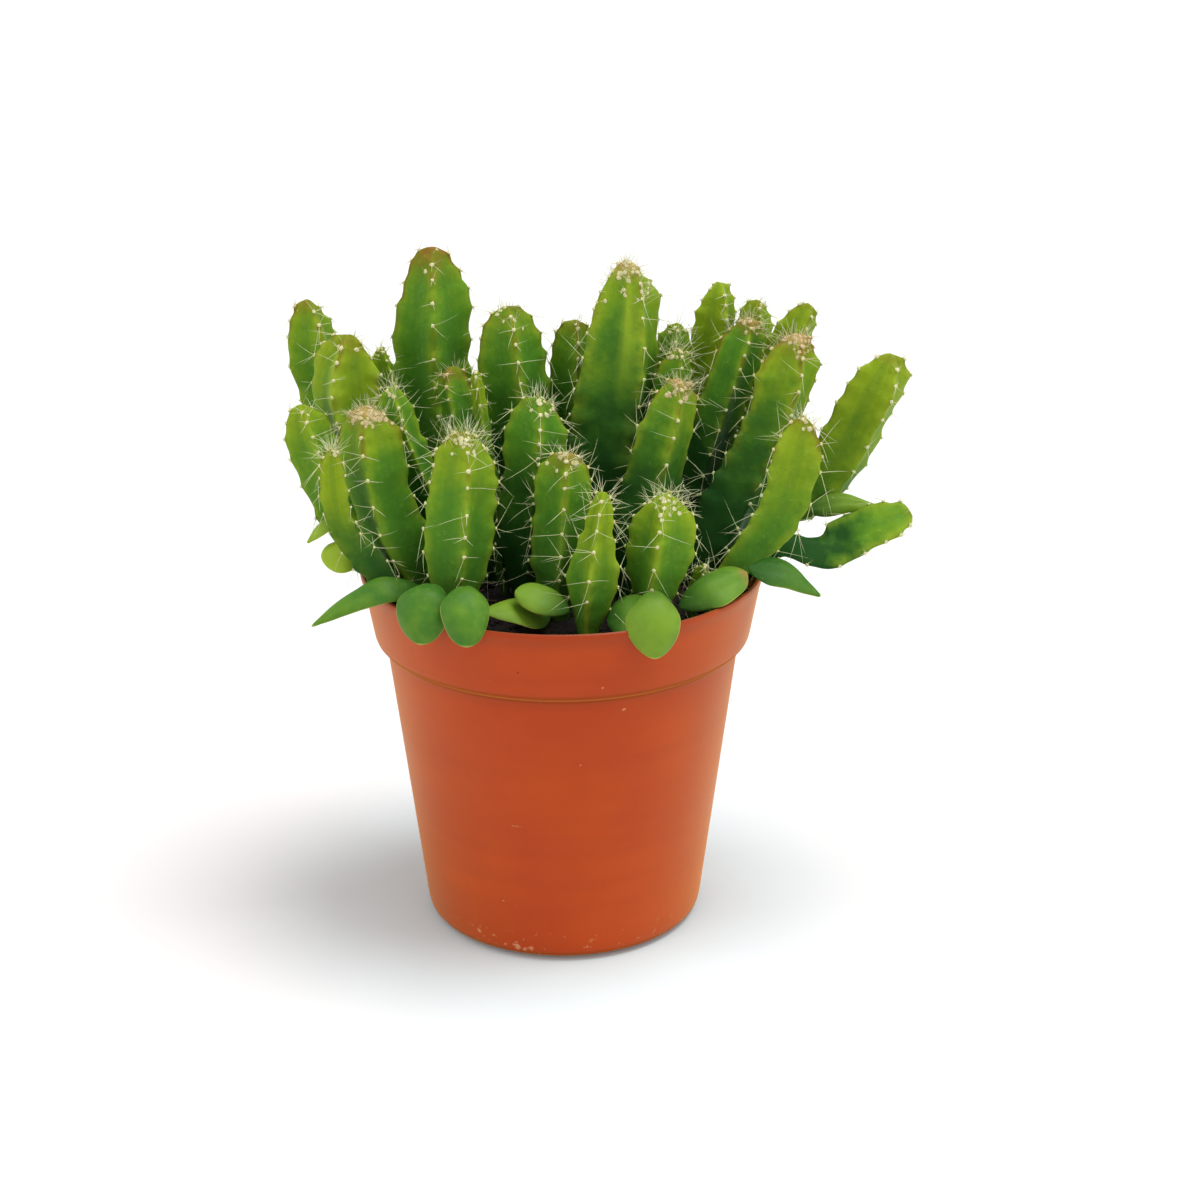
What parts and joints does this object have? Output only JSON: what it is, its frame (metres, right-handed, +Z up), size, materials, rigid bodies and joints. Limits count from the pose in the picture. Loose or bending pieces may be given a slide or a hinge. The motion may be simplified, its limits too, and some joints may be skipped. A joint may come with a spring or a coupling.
{
  "type": "potted dragon fruit cactus",
  "caption": "Young climbing-cactus seedlings crowded in a small tapered plastic nursery pot with a collar, a lip and drain slots.",
  "frame": {"origin": "on the pot's axis at the flat underside of its base, on the surface it stands on", "axes": "+Z up along the pot's axis; the side seen in the picture faces -Y and its right-hand side is +X"},
  "size_m": [0.1309, 0.0897, 0.142],
  "materials": {
    "pot_plastic": "satin",
    "peat_soil": "matte",
    "stem_flesh": "satin",
    "leaf_flesh": "satin"
  },
  "bodies": {
    "root": {"pot": "pot_plastic", "soil": "peat_soil", "stem_01": "stem_flesh", "stem_02": "stem_flesh", "stem_03": "stem_flesh", "stem_04": "stem_flesh", "stem_05": "stem_flesh", "stem_06": "stem_flesh", "stem_07": "stem_flesh", "stem_08": "stem_flesh", "stem_09": "stem_flesh", "stem_10": "stem_flesh", "stem_11": "stem_flesh", "stem_12": "stem_flesh", "stem_13": "stem_flesh", "stem_14": "stem_flesh", "stem_15": "stem_flesh", "stem_16": "stem_flesh", "stem_17": "stem_flesh", "stem_18": "stem_flesh", "stem_19": "stem_flesh", "stem_20": "stem_flesh", "stem_21": "stem_flesh", "stem_22": "stem_flesh", "stem_23": "stem_flesh", "stem_24": "stem_flesh", "stem_25": "stem_flesh", "stem_26": "stem_flesh", "stem_27": "stem_flesh", "stem_28": "stem_flesh", "stem_29": "stem_flesh", "stem_30": "stem_flesh", "stem_31": "stem_flesh", "stem_32": "stem_flesh", "seed_leaf_01": "leaf_flesh", "seed_leaf_02": "leaf_flesh", "seed_leaf_03": "leaf_flesh", "seed_leaf_04": "leaf_flesh", "seed_leaf_05": "leaf_flesh", "seed_leaf_06": "leaf_flesh", "seed_leaf_07": "leaf_flesh", "seed_leaf_08": "leaf_flesh", "seed_leaf_09": "leaf_flesh", "seed_leaf_10": "leaf_flesh", "seed_leaf_11": "leaf_flesh", "seed_leaf_12": "leaf_flesh", "seed_leaf_13": "leaf_flesh", "seed_leaf_14": "leaf_flesh", "seed_leaf_15": "leaf_flesh"}
  },
  "joints": []
}
